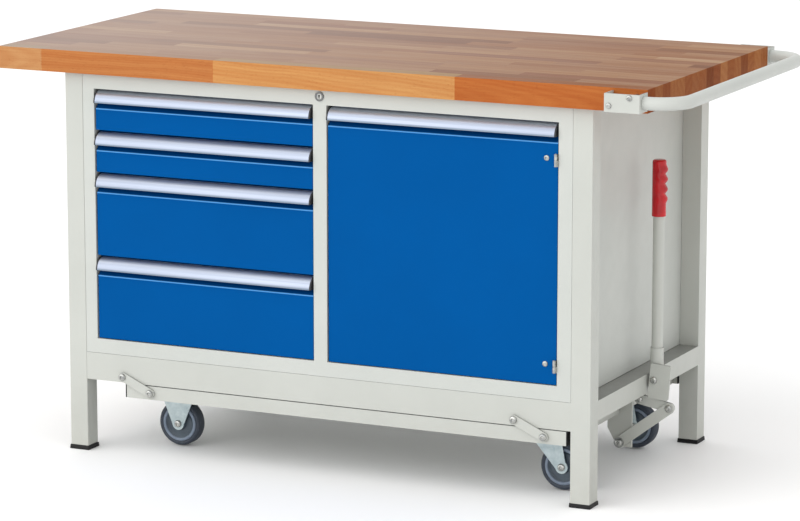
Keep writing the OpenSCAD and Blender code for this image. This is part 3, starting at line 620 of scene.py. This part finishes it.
def castor_wheel(place):
    """Tyre, shoulder ring and centre of one wheel."""
    lo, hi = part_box(f"wheel_{place}")
    centre = (lo + hi) / 2
    radius = (hi.z - lo.z) / 2
    half = (hi.y - lo.y) / 2 - 1 * MM
    tyre, shoulder, disc = wheel_profiles(radius, half, AXLE_BORE)
    body = f"{place}_wheel"
    finished(f"tyre_{place}", lathe(tyre, centre), rubber, body, "wheel_rubber", f"wheel_{place}")
    finished(f"wheel_shoulder_{place}", lathe(shoulder, centre), shoulder_grey, body, "wheel_rubber")
    finished(f"wheel_disc_{place}", lathe(disc, centre), disc_grey, body, "wheel_rubber")


for place in WHEELS:
    castor_wheel(place)


# Finger swells of the lever grip: lowest one above the lower end, spacing, number, hollow's depth
SWELL_FROM = 26 * MM
SWELL_PITCH = 21 * MM
SWELLS = 4
SWELL_HOLLOW = 1.6 * MM


def swelling(height):
    """How far the grip's outer side swells out at a height above its lower end, from 0
    to 1, and the depth of its hollows there."""
    s = (height - SWELL_FROM) / SWELL_PITCH
    if s < 0 or s > SWELLS:
        return 0.0, 0.0
    fade = min(1.0, 2 * s, 2 * (SWELLS - s))
    return (0.5 - 0.5 * math.cos(2 * math.pi * s)) ** 0.7, SWELL_HOLLOW * fade


def hand_grip():
    """Lever grip: round at the back, four finger swells on the outer side, domed top."""
    low, high = grip_lo.z, grip_hi.z
    tube_lo, tube_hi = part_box("lever_tube")
    axis_x, axis_y = (tube_lo.x + tube_hi.x) / 2, (tube_lo.y + tube_hi.y) / 2
    radius = axis_x - grip_lo.x
    reach = (grip_hi.x - axis_x) - radius
    dome = 5 * MM
    mesh = bmesh.new()
    heights = [low + (high - dome - low) * k / 90 for k in range(91)]
    sections = [(z, radius, *swelling(z - low)) for z in heights]
    sections += [(high - dome + dome * math.sin(math.radians(a)),
                  radius - dome * (1 - math.cos(math.radians(a))), 0.0, 0.0) for a in range(12, 91, 13)]
    rings = []
    turns = 64
    for z, r, swell, hollow in sections:
        ring = []
        for k in range(turns):
            angle = 2 * math.pi * k / turns
            outward = max(0.0, math.cos(angle)) ** 1.5
            far = r - hollow * outward * (1 - swell) + reach * outward * swell
            ring.append(mesh.verts.new((axis_x + far * math.cos(angle),
                                        axis_y + far * math.sin(angle), z)))
        rings.append(ring)
    for here, above in zip(rings, rings[1:]):
        for k in range(turns):
            j = (k + 1) % turns
            mesh.faces.new((here[k], here[j], above[j], above[k]))
    mesh.faces.new(rings[-1])
    mesh.faces.new(list(reversed(rings[0])))
    finished("hand_grip", mesh, red_grip(), "lever", "grip_red", "lever_grip")


hand_grip()


# ---- stage, light and camera ----

# Half the floor's width, and the point the lights face
FLOOR = 60.0
LIT_POINT = (0.0, 0.0, 0.45)
# Brightness of the even light from all round, and of the wide, low sun at the front left
AMBIENT = 1.04
SUN = 1.65
SUN_SPREAD = 80
SUN_FROM = (-0.40, -0.80, 0.45)
# Camera: place, degrees that it looks down and to the left, and focal length in mm
EYE = (3.4192, -7.2467, 1.9882)
LOOKS_DOWN = 11.12
LOOKS_LEFT = 25.29
FOCAL_LENGTH = 169.2


def floor():
    """Plain pale floor, far wider than the view."""
    mesh = bmesh.new()
    corners = [mesh.verts.new((sx * FLOOR, sy * FLOOR, 0))
               for sx, sy in ((-1, -1), (1, -1), (1, 1), (-1, 1))]
    mesh.faces.new(corners)
    data = bpy.data.meshes.new("floor")
    mesh.to_mesh(data)
    mesh.free()
    g = Graph("floor_pale")
    clouds = g.noise(g.place, 0.8, 3.0, 0.5)
    g.shade(Base_Color=g.mix(clouds, (0.90, 0.90, 0.90), (0.93, 0.93, 0.93)), Roughness=0.7,
            Specular_IOR_Level=0.2)
    data.materials.append(g.material)
    obj = bpy.data.objects.new("floor", data)
    bpy.context.scene.collection.objects.link(obj)


def softbox(name, place, size, power):
    """Square area light that faces the middle of the bench."""
    data = bpy.data.lights.new(name, "AREA")
    data.shape = "SQUARE"
    data.size = size
    data.energy = power
    obj = bpy.data.objects.new(name, data)
    obj.location = place
    obj.rotation_euler = (Vector(LIT_POINT) - Vector(place)).to_track_quat("-Z", "Y").to_euler()
    bpy.context.scene.collection.objects.link(obj)


def studio():
    """White surroundings, a wide soft sun and two softboxes."""
    world = bpy.data.worlds.new("pale_studio")
    world.use_nodes = True
    background = world.node_tree.nodes["Background"]
    background.inputs["Color"].default_value = (1.0, 1.0, 1.0, 1.0)
    background.inputs["Strength"].default_value = AMBIENT
    bpy.context.scene.world = world
    sun_data = bpy.data.lights.new("soft_sun", "SUN")
    sun_data.energy = SUN
    sun_data.angle = math.radians(SUN_SPREAD)
    sun = bpy.data.objects.new("soft_sun", sun_data)
    sun.rotation_euler = (-Vector(SUN_FROM)).to_track_quat("-Z", "Y").to_euler()
    bpy.context.scene.collection.objects.link(sun)
    softbox("key", (-2.0, -4.2, 2.4), 1.6, 12.0)
    softbox("side_fill", (4.6, -0.6, 1.6), 1.6, 3.0)
    bpy.context.scene.view_settings.view_transform = "Standard"


def camera():
    """Eye height and long focus as a catalogue view from the front right."""
    data = bpy.data.cameras.new("camera")
    data.sensor_width = 36.0
    data.lens = FOCAL_LENGTH
    data.clip_end = 200.0
    obj = bpy.data.objects.new("camera", data)
    obj.location = EYE
    obj.rotation_euler = (math.radians(90 - LOOKS_DOWN), 0.0, math.radians(LOOKS_LEFT))
    bpy.context.scene.collection.objects.link(obj)
    bpy.context.scene.camera = obj


floor()
studio()
camera()
